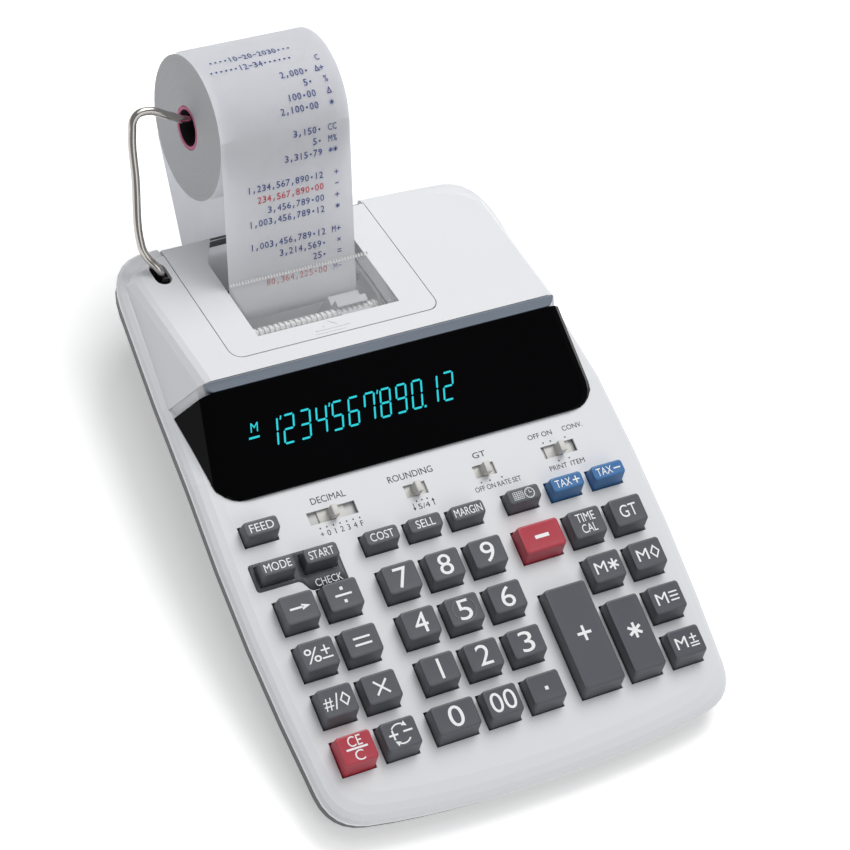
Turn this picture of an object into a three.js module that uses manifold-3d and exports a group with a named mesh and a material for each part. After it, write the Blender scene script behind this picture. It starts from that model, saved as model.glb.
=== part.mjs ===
// A desk printing calculator: a two-part case with a sloping keyboard, 38 keys, four slide
// switches, a wrap-round display lens, a small printer under a lift-up cover, and a paper roll
// carried behind the case on a bent wire arm.
//
// Everything is drawn in the keyboard's own plane: x runs to the right, y runs up the keyboard
// from the row of 4-5-6, and z stands off the deck. The last lines tip the whole calculator by
// DECK_SLOPE, so that it stands on its feet. Lengths are in millimetres.

import * as THREE from 'three';
import { mergeVertices } from 'three/addons/utils/BufferGeometryUtils.js';
import Module from 'manifold-3d';

const wasm = await Module();
wasm.setup();

// ---------- driving dimensions ----------

const KEY_PITCH = 19.7;
const PAPER_WIDTH = 58;
const DECK_SLOPE = THREE.MathUtils.degToRad(10);
const WALL = 2.2;
const GAP = 0.3;

const CASE_HALF_WIDTH = 97;
const CASE_FRONT = -72.5;
const CASE_BACK = 189;
const CASE_MIDDLE = (CASE_FRONT + CASE_BACK) / 2;
const CASE_HALF_DEPTH = (CASE_BACK - CASE_FRONT) / 2;
const LIP_DROP = 5;
const SHOULDER_FALL = 0.13;
const SHOULDER_START = 80;

const LENS_FRONT = 69;
const LENS_BACK = 110.9;
const LENS_FRONT_HEIGHT = 1.2;
const LENS_BACK_HEIGHT = 13.1;
const LENS_CORNER = 10;
const LENS_WALL = 2.5;

const TRIM_BACK = 115;
const RIDGE_HEIGHT = 15.2;
const ROOF_FALL = Math.tan(THREE.MathUtils.degToRad(22.5));
const ROOF_HALF_WIDTH = 80.6;
const ROOF_BACK = 186.4;
const SIDE_LEAN = 0.45;

const ROLL_RADIUS = 30;
const ROLL_Y = 220.4;
const ROLL_Z = 20.6;
const CORE_RADIUS = 9;
const CORE_BORE = 7.6;
const WIRE_RADIUS = 1.7;
const PAPER_LEFT = -47.5;
const PAPER_RIGHT = PAPER_LEFT + PAPER_WIDTH;
const PAPER_THICKNESS = 0.3;

const WELL_LEFT = -48.2;
const WELL_RIGHT = 16.5;
const WELL_FRONT = 131;
const WELL_STRAIGHT_BACK = 173;
const COVER_LEFT = -63;
const COVER_RIGHT = 31;
const COVER_FRONT = 123;
const COVER_CORNER = 5;
const TEAR_Y = 158.2;
const TEAR_Z = 0.7;

const PLATEN_RADIUS = 6.5;
const PLATEN_Y = 154.5;
const PLATEN_Z = -13.8;
const RACK_Y = 138;
const RACK_Z = -8;
const GUIDE_Y = 143;
const GUIDE_Z = -19;
const SHAFT_RADIUS = 1.6;

// ---------- heights that follow the depth ----------

const deckTop = (y) => -SHOULDER_FALL * Math.max(0, y - SHOULDER_START);
const roofTop = (y) => RIDGE_HEIGHT - ROOF_FALL * (y - TRIM_BACK);
const lensTop = (y) => THREE.MathUtils.mapLinear(y, LENS_FRONT, LENS_BACK, LENS_FRONT_HEIGHT, LENS_BACK_HEIGHT);
const caseBottom = (y) => -13.5 - Math.tan(DECK_SLOPE) * (y + 65);

// ---------- solid tools ----------

function toSolid(geometry) {
  geometry.deleteAttribute('normal');
  geometry.deleteAttribute('uv');
  const welded = mergeVertices(geometry, 1e-4);
  return new wasm.Manifold(new wasm.Mesh({
    numProp: 3,
    vertProperties: new Float32Array(welded.attributes.position.array),
    triVerts: new Uint32Array(welded.index.array),
  }));
}

function toGeometry(solid) {
  const mesh = solid.getMesh();
  const geometry = new THREE.BufferGeometry();
  geometry.setAttribute('position', new THREE.BufferAttribute(mesh.vertProperties, 3));
  geometry.setIndex(new THREE.BufferAttribute(mesh.triVerts, 1));
  geometry.computeVertexNormals();
  return geometry;
}

const join = (first, ...others) => others.reduce((sum, solid) => sum.add(solid), first);
const cut = (first, ...others) => others.reduce((rest, solid) => rest.subtract(solid), first);

// A closed skin through a stack of rings that all have the same number of points. The rings
// are mirror images left to right, so each end is closed by strips between mirrored points.
function ringBody(rings) {
  const count = rings[0].length;
  const positions = rings.flat().flatMap((point) => [point.x, point.y, point.z]);
  const indices = [];
  for (let ring = 0; ring < rings.length - 1; ring += 1) {
    for (let i = 0; i < count; i += 1) {
      const a = ring * count + i;
      const b = ring * count + ((i + 1) % count);
      indices.push(a, b, b + count, a, b + count, a + count);
    }
  }
  const top = (rings.length - 1) * count;
  for (let i = 0; i < count / 2; i += 1) {
    const left = (count - i) % count;
    const nextLeft = count - i - 1;
    const corners = [i, i + 1, nextLeft, left];
    for (const [a, b, c] of [[0, 1, 2], [0, 2, 3]]) {
      const three = new Set([corners[a], corners[b], corners[c]]);
      if (three.size < 3) continue;
      indices.push(corners[c], corners[b], corners[a]);
      indices.push(top + corners[a], top + corners[b], top + corners[c]);
    }
  }
  const geometry = new THREE.BufferGeometry();
  geometry.setAttribute('position', new THREE.Float32BufferAttribute(positions, 3));
  geometry.setIndex(indices);
  return toSolid(geometry);
}

function block(x0, x1, y0, y1, z0, z1) {
  const geometry = new THREE.BoxGeometry(x1 - x0, y1 - y0, z1 - z0);
  geometry.translate((x0 + x1) / 2, (y0 + y1) / 2, (z0 + z1) / 2);
  return toSolid(geometry);
}

// A side profile in y and z, drawn out along x.
function sideProfile(points, x0, x1) {
  const shape = new THREE.Shape(points.map(([y, z]) => new THREE.Vector2(y, z)));
  const geometry = new THREE.ExtrudeGeometry(shape, { depth: x1 - x0, bevelEnabled: false });
  geometry.applyMatrix4(new THREE.Matrix4().set(0, 0, 1, x0, 1, 0, 0, 0, 0, 1, 0, 0, 0, 0, 0, 1));
  return toSolid(geometry);
}

function rodAlongX(radius, x0, x1, y, z, sides) {
  const geometry = new THREE.CylinderGeometry(radius, radius, x1 - x0, sides);
  geometry.rotateZ(Math.PI / 2);
  geometry.translate((x0 + x1) / 2, y, z);
  return toSolid(geometry);
}

// ---------- the case's outline, seen from above ----------

function caseOutline() {
  const half = new THREE.Path();
  half.moveTo(0, CASE_FRONT);
  half.quadraticCurveTo(46, CASE_FRONT, 78, -66.8);
  half.quadraticCurveTo(92.3, -64, 93.4, -50);
  half.bezierCurveTo(98.2, 14, 98.2, 70, 88.2, 166);
  half.quadraticCurveTo(86.2, 185, 72, 187.2);
  half.quadraticCurveTo(40, CASE_BACK, 0, CASE_BACK);
  const right = half.getPoints(6);
  const left = right.slice(1, -1).reverse().map((point) => new THREE.Vector2(-point.x, point.y));
  return [...right, ...left];
}

const OUTLINE = caseOutline();

function caseRing(inset, height) {
  const scaleX = (CASE_HALF_WIDTH - inset) / CASE_HALF_WIDTH;
  const scaleY = (CASE_HALF_DEPTH - inset) / CASE_HALF_DEPTH;
  return OUTLINE.map((point) => {
    const y = CASE_MIDDLE + (point.y - CASE_MIDDLE) * scaleY;
    return new THREE.Vector3(point.x * scaleX, y, height(y));
  });
}

// The deck with its rounded shoulders, grown outwards by a little where a neighbour needs room.
const DECK_SECTION = [[0, LIP_DROP], [0, 3.4], [0.9, 2.1], [2.8, 1.1], [6, 0.35], [10.5, 0]];

function deckBody(grow) {
  return ringBody(DECK_SECTION.map(([inset, drop]) => caseRing(inset - grow, (y) => deckTop(y) - drop + grow)));
}

function deckHollow() {
  const section = [[WALL, 14], [WALL, LIP_DROP], [4, 4], [9, WALL]];
  return ringBody(section.map(([inset, drop]) => caseRing(inset, (y) => deckTop(y) - drop)));
}

// ---------- the raised housing behind the keyboard ----------

function roofHalfWidth(y) {
  const straight = ROOF_HALF_WIDTH + 1.4 * (y - TRIM_BACK) / 60;
  const cornerStart = 172;
  if (y <= cornerStart) return straight;
  const share = (y - cornerStart) / (ROOF_BACK + 0.1 - cornerStart);
  return straight * (1 - share * share) ** 0.3;
}

// One cross-section at depth y: top corners rounded over, sides leaning out to the foot.
function housingSection(y, top, foot, halfWidth, inset) {
  const shoulder = halfWidth - inset;
  const footHalf = shoulder + SIDE_LEAN * Math.max(0, top - foot);
  const right = [[footHalf, foot], [shoulder + SIDE_LEAN * 3, top - 3], [shoulder - 1, top - 0.8], [shoulder - 3.6, top]];
  const left = right.map(([x, z]) => [-x, z]).reverse();
  return [...right, ...left].map(([x, z]) => new THREE.Vector3(x, y, z));
}

// Sections strung along the depth, closed front and back.
function depthBody(sections) {
  const count = sections[0].length;
  const positions = sections.flat().flatMap((point) => [point.x, point.y, point.z]);
  const indices = [];
  for (let station = 0; station < sections.length - 1; station += 1) {
    for (let i = 0; i < count; i += 1) {
      const a = station * count + i;
      const b = station * count + ((i + 1) % count);
      indices.push(a, a + count, b + count, a, b + count, b);
    }
  }
  const last = (sections.length - 1) * count;
  for (let i = 1; i < count - 1; i += 1) {
    indices.push(0, i, i + 1);
    indices.push(last, last + i + 1, last + i);
  }
  const geometry = new THREE.BufferGeometry();
  geometry.setAttribute('position', new THREE.Float32BufferAttribute(positions, 3));
  geometry.setIndex(indices);
  return toSolid(geometry);
}

function housingBody() {
  const front = LENS_BACK + GAP;
  const trimSeat = (y) => roofTop(y) - WALL - GAP;
  const sections = [
    housingSection(front, LENS_BACK_HEIGHT - WALL - GAP, deckTop(front) - 3, ROOF_HALF_WIDTH, 0),
    housingSection(TRIM_BACK + GAP - 0.05, trimSeat(TRIM_BACK), deckTop(TRIM_BACK) - 3, ROOF_HALF_WIDTH, 0),
  ];
  for (const y of [TRIM_BACK + GAP, 128, 142, 156, 168, 173, 177, 180, 182.5, 184.5, 185.8, ROOF_BACK]) {
    sections.push(housingSection(y, roofTop(y), deckTop(y) - 3, roofHalfWidth(y), 0));
  }
  return depthBody(sections);
}

function housingHollow() {
  const front = LENS_BACK + GAP + WALL;
  const sections = [housingSection(front, LENS_BACK_HEIGHT - 2 * WALL - GAP, -30, ROOF_HALF_WIDTH - 9, WALL)];
  for (const y of [TRIM_BACK + GAP + WALL, 128, 142, 156, 168, 173, 177, 180, 182.5, ROOF_BACK - WALL]) {
    const foot = deckTop(y) - 14;
    const lean = SIDE_LEAN * (roofTop(y) - foot);
    const half = Math.min(roofHalfWidth(y + WALL), roofHalfWidth(y));
    const section = housingSection(y, roofTop(y) - WALL, foot, half, WALL);
    section[0].x -= lean * 0.45;
    section[section.length - 1].x += lean * 0.45;
    sections.push(section);
  }
  return depthBody(sections);
}

// ---------- keys ----------

const LEFT_COLUMNS = [-75.1, -55.9];
const MIDDLE_COLUMNS = [-29.8, -10.1, 9.6];
const RIGHT_COLUMNS = [34.8, 56.4, 76.2];
const ROW_B = 0.25;
const ROW_A = ROW_B + KEY_PITCH;
const ROW_C = ROW_B - KEY_PITCH;
const ROW_D = ROW_B - 2 * KEY_PITCH;
const SMALL_ROW = 38.75;
const SMALL_KEY_SHIFT = -0.6;
const FEED_ROW = 55.65;

const KEY_TOP = 6.6;
const SMALL_KEY_TOP = 6;
const KEY_WIDTH = 14.5;
const WIDE_KEY_WIDTH = 18.5;
const KEY_DEPTH = 11.6;
const SMALL_KEY_DEPTH = 5.9;
const SKIRT_BACK = 0.3;
const SKIRT_FRONT = 2.2;
const FLANGE_REACH = 1.2;
const WELL_CLEARANCE = 0.35;
const FLANGE_TOP = -WALL - 0.4;
const FLANGE_BOTTOM = -3.9;

const SLATE = 0x4b4f57;
const RED = 0xa3243a;
const BLUE = 0x2a6fb5;

const mainKey = (name, x, y, colour = SLATE) => ({ name, x, y, width: KEY_WIDTH, depth: KEY_DEPTH, top: KEY_TOP, colour });
const wideKey = (name, x, y, colour = SLATE) => ({ ...mainKey(name, x, y, colour), width: WIDE_KEY_WIDTH });
const smallKey = (name, x, y, colour = SLATE) => ({
  name, x: x + SMALL_KEY_SHIFT, y, width: KEY_WIDTH, depth: SMALL_KEY_DEPTH, top: SMALL_KEY_TOP, colour,
});

const KEYS = [
  smallKey('key_feed', LEFT_COLUMNS[0] - 1, FEED_ROW),
  smallKey('key_mode', LEFT_COLUMNS[0] - 1, SMALL_ROW),
  smallKey('key_start', LEFT_COLUMNS[1] - 1, SMALL_ROW),
  smallKey('key_cost', MIDDLE_COLUMNS[0], SMALL_ROW),
  smallKey('key_sell', MIDDLE_COLUMNS[1], SMALL_ROW),
  smallKey('key_margin', MIDDLE_COLUMNS[2], SMALL_ROW),
  smallKey('key_clock', RIGHT_COLUMNS[0] + 1, SMALL_ROW),
  smallKey('key_tax_plus', RIGHT_COLUMNS[1], SMALL_ROW, BLUE),
  smallKey('key_tax_minus', RIGHT_COLUMNS[2], SMALL_ROW, BLUE),
  mainKey('key_arrow', LEFT_COLUMNS[0], ROW_A),
  mainKey('key_divide', LEFT_COLUMNS[1], ROW_A),
  mainKey('key_7', MIDDLE_COLUMNS[0], ROW_A),
  mainKey('key_8', MIDDLE_COLUMNS[1], ROW_A),
  mainKey('key_9', MIDDLE_COLUMNS[2], ROW_A),
  wideKey('key_minus', RIGHT_COLUMNS[0], ROW_A, RED),
  mainKey('key_time', RIGHT_COLUMNS[1], ROW_A),
  mainKey('key_gt', RIGHT_COLUMNS[2], ROW_A),
  mainKey('key_percent', LEFT_COLUMNS[0], ROW_B),
  mainKey('key_equals', LEFT_COLUMNS[1], ROW_B),
  mainKey('key_4', MIDDLE_COLUMNS[0], ROW_B),
  mainKey('key_5', MIDDLE_COLUMNS[1], ROW_B),
  mainKey('key_6', MIDDLE_COLUMNS[2], ROW_B),
  mainKey('key_m_star', RIGHT_COLUMNS[1], ROW_B),
  mainKey('key_m_diamond', RIGHT_COLUMNS[2], ROW_B),
  mainKey('key_hash', LEFT_COLUMNS[0], ROW_C),
  mainKey('key_multiply', LEFT_COLUMNS[1], ROW_C),
  mainKey('key_1', MIDDLE_COLUMNS[0], ROW_C),
  mainKey('key_2', MIDDLE_COLUMNS[1], ROW_C),
  mainKey('key_3', MIDDLE_COLUMNS[2], ROW_C),
  mainKey('key_m_equals', RIGHT_COLUMNS[2], ROW_C),
  mainKey('key_clear', LEFT_COLUMNS[0], ROW_D, RED),
  mainKey('key_swap', LEFT_COLUMNS[1], ROW_D),
  wideKey('key_0', MIDDLE_COLUMNS[0] - 1.6, ROW_D),
  mainKey('key_00', MIDDLE_COLUMNS[1], ROW_D),
  mainKey('key_point', MIDDLE_COLUMNS[2], ROW_D),
  mainKey('key_m_plus_minus', RIGHT_COLUMNS[2], ROW_D),
  { ...wideKey('key_plus', RIGHT_COLUMNS[0], -23.75), depth: 43 },
  { ...mainKey('key_star', RIGHT_COLUMNS[1], -29.45), depth: 31.2 },
];

// The outline of a key's top, grown by some amounts at its sides, front and back.
function keyRing(key, sides, front, back, z) {
  const right = key.width / 2 + sides;
  const near = -key.depth / 2 - front;
  const far = key.depth / 2 + back;
  return [[0, near], [right, near], [right, far], [0, far], [-right, far], [-right, near]]
    .map(([x, y]) => new THREE.Vector3(x, y, z));
}

// A cap that slopes out to the front, with a flange under the deck that keeps the key in its well.
function keyBody(key) {
  const flange = [FLANGE_REACH, SKIRT_FRONT + FLANGE_REACH, SKIRT_BACK + FLANGE_REACH];
  return ringBody([
    keyRing(key, ...flange, FLANGE_BOTTOM),
    keyRing(key, ...flange, FLANGE_TOP),
    keyRing(key, 0, SKIRT_FRONT, SKIRT_BACK, FLANGE_TOP),
    keyRing(key, 0, SKIRT_FRONT, SKIRT_BACK, 0),
    keyRing(key, 0, 0, 0, key.top - 0.4),
    keyRing(key, -0.4, -0.4, -0.4, key.top),
  ]);
}

function keyWell(key) {
  const halfWidth = key.width / 2 + WELL_CLEARANCE;
  const front = key.y - key.depth / 2 - SKIRT_FRONT - WELL_CLEARANCE;
  const back = key.y + key.depth / 2 + SKIRT_BACK + WELL_CLEARANCE;
  return block(key.x - halfWidth, key.x + halfWidth, front, back, -6, 2);
}

// ---------- slide switches ----------

const SWITCH_ROW = 54.7;
const SWITCH_SLOT_DEPTH = 5.4;
const KNOB_WIDTH = 2.8;
const KNOB_HEIGHT = 4.2;
const SHUTTER_HALF_WIDTH = 6;
const SHUTTER_HALF_DEPTH = 3.6;
const DECK_LEFT_AT_SLOTS = 0.9;
const SWITCHES = [
  { name: 'switch_decimal', x: -43.8, slot: 21.5 },
  { name: 'switch_rounding', x: -5.9, slot: 10 },
  { name: 'switch_total', x: 26.2, slot: 9.8 },
  { name: 'switch_power', x: 61.8, slot: 15.8 },
];

// The knob stands on a flat shutter that closes the slot round it.
function switchBody() {
  const shutter = block(
    -SHUTTER_HALF_WIDTH, SHUTTER_HALF_WIDTH, -SHUTTER_HALF_DEPTH, SHUTTER_HALF_DEPTH,
    FLANGE_BOTTOM, -DECK_LEFT_AT_SLOTS - GAP,
  );
  const halfDepth = SWITCH_SLOT_DEPTH / 2 - GAP;
  const stem = block(-KNOB_WIDTH / 2, KNOB_WIDTH / 2, -halfDepth, halfDepth, FLANGE_BOTTOM, KNOB_HEIGHT);
  return join(shutter, stem);
}

// The slot goes through the deck, which is thinned from below where the shutter slides.
function switchSlot({ x, slot }) {
  const half = SWITCH_SLOT_DEPTH / 2;
  const through = block(x - slot / 2, x + slot / 2, SWITCH_ROW - half, SWITCH_ROW + half, -6, 2);
  const reach = (slot - KNOB_WIDTH) / 2 + SHUTTER_HALF_WIDTH + GAP;
  const across = SHUTTER_HALF_DEPTH + GAP;
  const pocket = block(x - reach, x + reach, SWITCH_ROW - across, SWITCH_ROW + across, -6, -DECK_LEFT_AT_SLOTS);
  return join(through, pocket);
}

// ---------- the printer cover and its tear-off window ----------

// The cover's opening: straight sides for the window, then narrowing to the back edge.
function wellPoints(grow) {
  return [
    [WELL_LEFT - grow, WELL_FRONT - grow], [WELL_RIGHT + grow, WELL_FRONT - grow],
    [WELL_RIGHT + grow, WELL_STRAIGHT_BACK], [WELL_RIGHT - 12 + grow, CASE_BACK + 4],
    [WELL_LEFT + 12 - grow, CASE_BACK + 4], [WELL_LEFT - grow, WELL_STRAIGHT_BACK],
  ];
}

function planColumn(points, z0, z1) {
  const shape = new THREE.Shape(points.map(([x, y]) => new THREE.Vector2(x, y)));
  const geometry = new THREE.ExtrudeGeometry(shape, { depth: z1 - z0, bevelEnabled: false });
  geometry.translate(0, 0, z0);
  return toSolid(geometry);
}

function roofLayer(depthBelow, thickness, x0, x1, y0, y1) {
  return sideProfile([
    [y0, roofTop(y0) - depthBelow - thickness], [y1, roofTop(y1) - depthBelow - thickness],
    [y1, roofTop(y1) - depthBelow], [y0, roofTop(y0) - depthBelow],
  ], x0, x1);
}

// A column with its two front corners rounded, seen from above.
function coverColumn(grow) {
  const radius = COVER_CORNER + grow;
  const left = COVER_LEFT - grow;
  const right = COVER_RIGHT + grow;
  const front = COVER_FRONT - grow;
  const path = new THREE.Path();
  path.moveTo(right, CASE_BACK + 4);
  path.lineTo(left, CASE_BACK + 4);
  path.absarc(left + radius, front + radius, radius, Math.PI, 1.5 * Math.PI, false);
  path.absarc(right - radius, front + radius, radius, 1.5 * Math.PI, 2 * Math.PI, false);
  return planColumn(path.getPoints(6).map((point) => [point.x, point.y]), -60, 40);
}

function coverOpening() {
  const layer = roofLayer(-4, 4 + 2 * WALL, COVER_LEFT - 1, COVER_RIGHT + 1, COVER_FRONT - 1, CASE_BACK);
  return layer.intersect(coverColumn(GAP + 0.1));
}

function printerCover() {
  const layer = roofLayer(0, WALL, COVER_LEFT, COVER_RIGHT, COVER_FRONT, ROOF_BACK - 1);
  const plate = layer.intersect(coverColumn(0));
  const skirt = roofLayer(WALL - 0.2, 6, WELL_LEFT - 1.6, WELL_RIGHT + 1.6, WELL_FRONT - 1.6, 181);
  const outside = wellPoints(1.6);
  const walls = skirt.intersect(planColumn(outside, -60, 40));
  return cut(join(plate, walls), planColumn(wellPoints(0), -60, 40));
}

// A clear plate that ends in a wedge, close in front of the paper.
function tearWindow() {
  const front = WELL_FRONT + GAP + 0.2;
  const frontHeight = roofTop(front) - 1.4;
  const thickness = 1.6;
  const wedge = 1.6;
  const wedgeTop = THREE.MathUtils.mapLinear(TEAR_Y - wedge, front, TEAR_Y, frontHeight, TEAR_Z);
  return sideProfile([
    [front, frontHeight - thickness], [TEAR_Y - wedge, wedgeTop - thickness], [TEAR_Y, TEAR_Z - 0.1],
    [TEAR_Y, TEAR_Z], [front, frontHeight],
  ], WELL_LEFT + GAP, WELL_RIGHT - GAP);
}

// ---------- the case ----------

// A slot with round ends, just wider than the wire with room for it to fold back.
function armSlot() {
  const radius = 3.5;
  const path = new THREE.Path();
  path.absarc(-69.3, 175.9, radius, 0, Math.PI, false);
  path.absarc(-69.3, 171.1, radius, Math.PI, 2 * Math.PI, false);
  return planColumn(path.getPoints(6).slice(0, -1).map((point) => [point.x, point.y]), -24, 0);
}

function upperCase() {
  const shell = cut(join(deckBody(0), housingBody()), deckHollow(), housingHollow());
  const displayOpening = block(-74, 40, 77, 106, -6, 8);
  const openings = [...KEYS.map(keyWell), ...SWITCHES.map(switchSlot), displayOpening, coverOpening(), armSlot()];
  return cut(shell, ...openings);
}

function lowerCase() {
  const rim = LIP_DROP + GAP;
  const outside = ringBody([
    caseRing(16, caseBottom),
    caseRing(1, (y) => Math.max(deckTop(y) - 11, caseBottom(y) + 2)),
    caseRing(0.8, (y) => deckTop(y) - rim),
  ]);
  const inside = ringBody([
    caseRing(18.5, (y) => caseBottom(y) + WALL),
    caseRing(3.4, (y) => Math.max(deckTop(y) - 10, caseBottom(y) + 3.4)),
    caseRing(3.4, (y) => deckTop(y)),
  ]);
  const paperInlet = block(PAPER_LEFT - 2.5, PAPER_RIGHT + 2.5, 176, CASE_BACK + 2, -34.5, -22.5);
  return cut(outside, inside, paperInlet);
}

function displayLens() {
  const stations = [0, 0.4, 1.5, 3.5, 6.5, LENS_CORNER, 20, 30, LENS_BACK - LENS_FRONT];
  const outer = stations.map((step) => {
    const y = LENS_FRONT + step;
    const toGo = Math.max(0, LENS_CORNER - step);
    const corner = LENS_CORNER - Math.sqrt(LENS_CORNER ** 2 - toGo ** 2);
    const halfWidth = ROOF_HALF_WIDTH + SIDE_LEAN * (RIDGE_HEIGHT - lensTop(y)) - corner;
    return housingSection(y, lensTop(y), deckTop(y) - 3, halfWidth, 0);
  });
  const inner = [LENS_FRONT + LENS_WALL, 76, 90, LENS_BACK + 4].map((y) => {
    const halfWidth = ROOF_HALF_WIDTH + SIDE_LEAN * (RIDGE_HEIGHT - lensTop(y)) - 1.5;
    return housingSection(y, lensTop(y) - LENS_WALL, -12, halfWidth, LENS_WALL);
  });
  return cut(depthBody(outer), depthBody(inner), deckBody(GAP));
}

function displayTrim() {
  const seat = roofTop(TRIM_BACK) - WALL;
  return sideProfile([
    [LENS_BACK + GAP, LENS_BACK_HEIGHT - WALL], [TRIM_BACK, seat],
    [TRIM_BACK, RIDGE_HEIGHT], [LENS_BACK + GAP, LENS_BACK_HEIGHT + 0.2],
  ], -ROOF_HALF_WIDTH + 0.6, ROOF_HALF_WIDTH - 0.6);
}

const DISPLAY_TILT = Math.atan2(LENS_BACK_HEIGHT - LENS_FRONT_HEIGHT, LENS_BACK - LENS_FRONT);

function displayTube() {
  return toSolid(new THREE.BoxGeometry(108, 22, 5));
}

// ---------- the printer ----------

const FRAME_LEFT = PAPER_LEFT - 1.2;
const FRAME_RIGHT = PAPER_RIGHT + 4.4;
const FRAME_PLATE = 1.6;
const CARRIAGE_X = 3;
const GUIDE_RADIUS = 1.5;
const RIDGE_RADIUS = 2.4;

function printerFrame() {
  const sides = [FRAME_LEFT - FRAME_PLATE, FRAME_RIGHT].map((x) => sideProfile([
    [134, -38], [168, -38], [168, -20], [160, -12.4], [150, -8.2], [145, -6.2], [141, -4.6], [134, -4.6],
  ], x, x + FRAME_PLATE));
  const base = block(FRAME_LEFT - 1, FRAME_RIGHT + 1, 136, 169, -38, -36.4);
  const guideRod = rodAlongX(GUIDE_RADIUS, FRAME_LEFT - 1, FRAME_RIGHT + 1, GUIDE_Y, GUIDE_Z, 10);
  const bores = [
    rodAlongX(SHAFT_RADIUS + GAP, FRAME_LEFT - 4, FRAME_RIGHT + 4, PLATEN_Y, PLATEN_Z, 16),
    rodAlongX(SHAFT_RADIUS + GAP, FRAME_LEFT - 4, FRAME_RIGHT + 4, RACK_Y, RACK_Z, 16),
  ];
  return cut(join(...sides, base, guideRod), ...bores);
}

function platenRoller() {
  const rubber = rodAlongX(PLATEN_RADIUS, PAPER_LEFT - 0.6, PAPER_RIGHT + 0.6, 0, 0, 24);
  const shaft = rodAlongX(SHAFT_RADIUS, FRAME_LEFT - 3, FRAME_RIGHT + 3, 0, 0, 12);
  return join(rubber, shaft);
}

// The ridged bar that the print head runs along.
function carriageRack() {
  const shaft = rodAlongX(SHAFT_RADIUS, FRAME_LEFT - 3, FRAME_RIGHT + 3, 0, 0, 12);
  const ridges = [];
  for (let x = FRAME_LEFT + 1.5; x < FRAME_RIGHT - 2; x += 2.4) {
    ridges.push(rodAlongX(RIDGE_RADIUS, x, x + 1.2, 0, 0, 10));
  }
  return join(shaft, ...ridges);
}

function printCarriage() {
  const body = block(-7, 7, RACK_Y - 3.4, 146.6, -24, -9);
  const rackHook = block(-7, 7, RACK_Y - 3.4, RACK_Y + 4.4, -14, -3.9);
  const rackBore = rodAlongX(RIDGE_RADIUS + GAP, -10, 10, RACK_Y, RACK_Z, 16);
  const guideBore = rodAlongX(GUIDE_RADIUS + GAP, -10, 10, GUIDE_Y, GUIDE_Z, 16);
  const mouth = block(-10, 10, RACK_Y - 1.4, RACK_Y + 1.4, RACK_Z, 0);
  return cut(join(body, rackHook), rackBore, guideBore, mouth);
}

function circuitBoard() {
  return block(-84, 84, -54, 62, -9.2, -7.6);
}

// ---------- paper ----------

// The angle on a circle at which a line from an outside point touches it.
function tangentAngle(point, centre, radius, side) {
  const toPoint = Math.atan2(point[1] - centre[1], point[0] - centre[0]);
  const distance = Math.hypot(point[0] - centre[0], point[1] - centre[1]);
  return toPoint + side * Math.acos(radius / distance);
}

// The strip leaves the underside of the roll, enters the back of the case, turns up round the
// front of the platen, passes behind the tear edge, and lies over the top of the roll.
function paperPath() {
  const roll = [ROLL_Y, ROLL_Z];
  const platen = [PLATEN_Y, PLATEN_Z];
  const wrap = ROLL_RADIUS + GAP + PAPER_THICKNESS;
  const bend = PLATEN_RADIUS + GAP + PAPER_THICKNESS;
  const tearOut = [TEAR_Y + 1, TEAR_Z + 0.35];
  const inlet = [187, -28.9];
  const lower = tangentAngle(inlet, roll, wrap, 1);
  const under = tangentAngle(inlet, platen, bend, -1);
  const rising = tangentAngle(tearOut, platen, bend, 1) - 2 * Math.PI;
  const upper = tangentAngle(tearOut, roll, wrap, -1);
  const path = new THREE.Path();
  path.moveTo(ROLL_Y + wrap * Math.cos(lower), ROLL_Z + wrap * Math.sin(lower));
  path.lineTo(...inlet);
  path.absarc(...platen, bend, under, rising, true);
  path.lineTo(...tearOut);
  path.absarc(...roll, wrap, upper, upper - 1.9, true);
  return path.getPoints(14);
}

function paperStrip() {
  const centre = paperPath().filter((point, i, all) => i === 0 || point.distanceTo(all[i - 1]) > 0.05);
  const edge = (side) => centre.map((point, i) => {
    const before = centre[Math.max(0, i - 1)];
    const after = centre[Math.min(centre.length - 1, i + 1)];
    const along = new THREE.Vector2().subVectors(after, before).normalize();
    return [point.x - side * along.y * PAPER_THICKNESS / 2, point.y + side * along.x * PAPER_THICKNESS / 2];
  });
  return sideProfile([...edge(1), ...edge(-1).reverse()], PAPER_LEFT, PAPER_RIGHT);
}

function ringAlongX(outer, inner, length, sides) {
  return cut(rodAlongX(outer, 0, length, 0, 0, sides), rodAlongX(inner, -1, length + 1, 0, 0, sides));
}

// ---------- the wire arm ----------

const ARM_PIVOT = [172.7, -16];

function paperArm() {
  const points = [
    [-58, ARM_PIVOT[0], ARM_PIVOT[1]], [-66, ARM_PIVOT[0], ARM_PIVOT[1]], [-69.1, 172.9, -14],
    [-69.6, 173.7, -8], [-74.6, 180.6, -3.6], [-76.2, 184, -0.6],
    [-75.6, 205, 18], [-75, 219, 30.4], [-73.6, 223, 34.6], [-70, 224.2, 36],
    [-58, 221.8, 32.4], [-49.5, 221.2, 26.9], [-44, 221.2, 25.9], [-36, 221.2, 25.9], [-2, 221.2, 25.9],
  ].map(([x, y, z]) => new THREE.Vector3(x, y, z));
  const path = new THREE.CatmullRomCurve3(points, false, 'centripetal');
  const section = new THREE.Shape();
  section.absarc(0, 0, WIRE_RADIUS, 0, 2 * Math.PI, false);
  const geometry = new THREE.ExtrudeGeometry(section, {
    steps: 56, curveSegments: 5, bevelEnabled: false, extrudePath: path,
  });
  return toSolid(geometry);
}

// ---------- assembly ----------

function paint(colour, roughness, metalness = 0) {
  return new THREE.MeshStandardMaterial({ color: colour, roughness, metalness });
}

const calculator = new THREE.Group();

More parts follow.
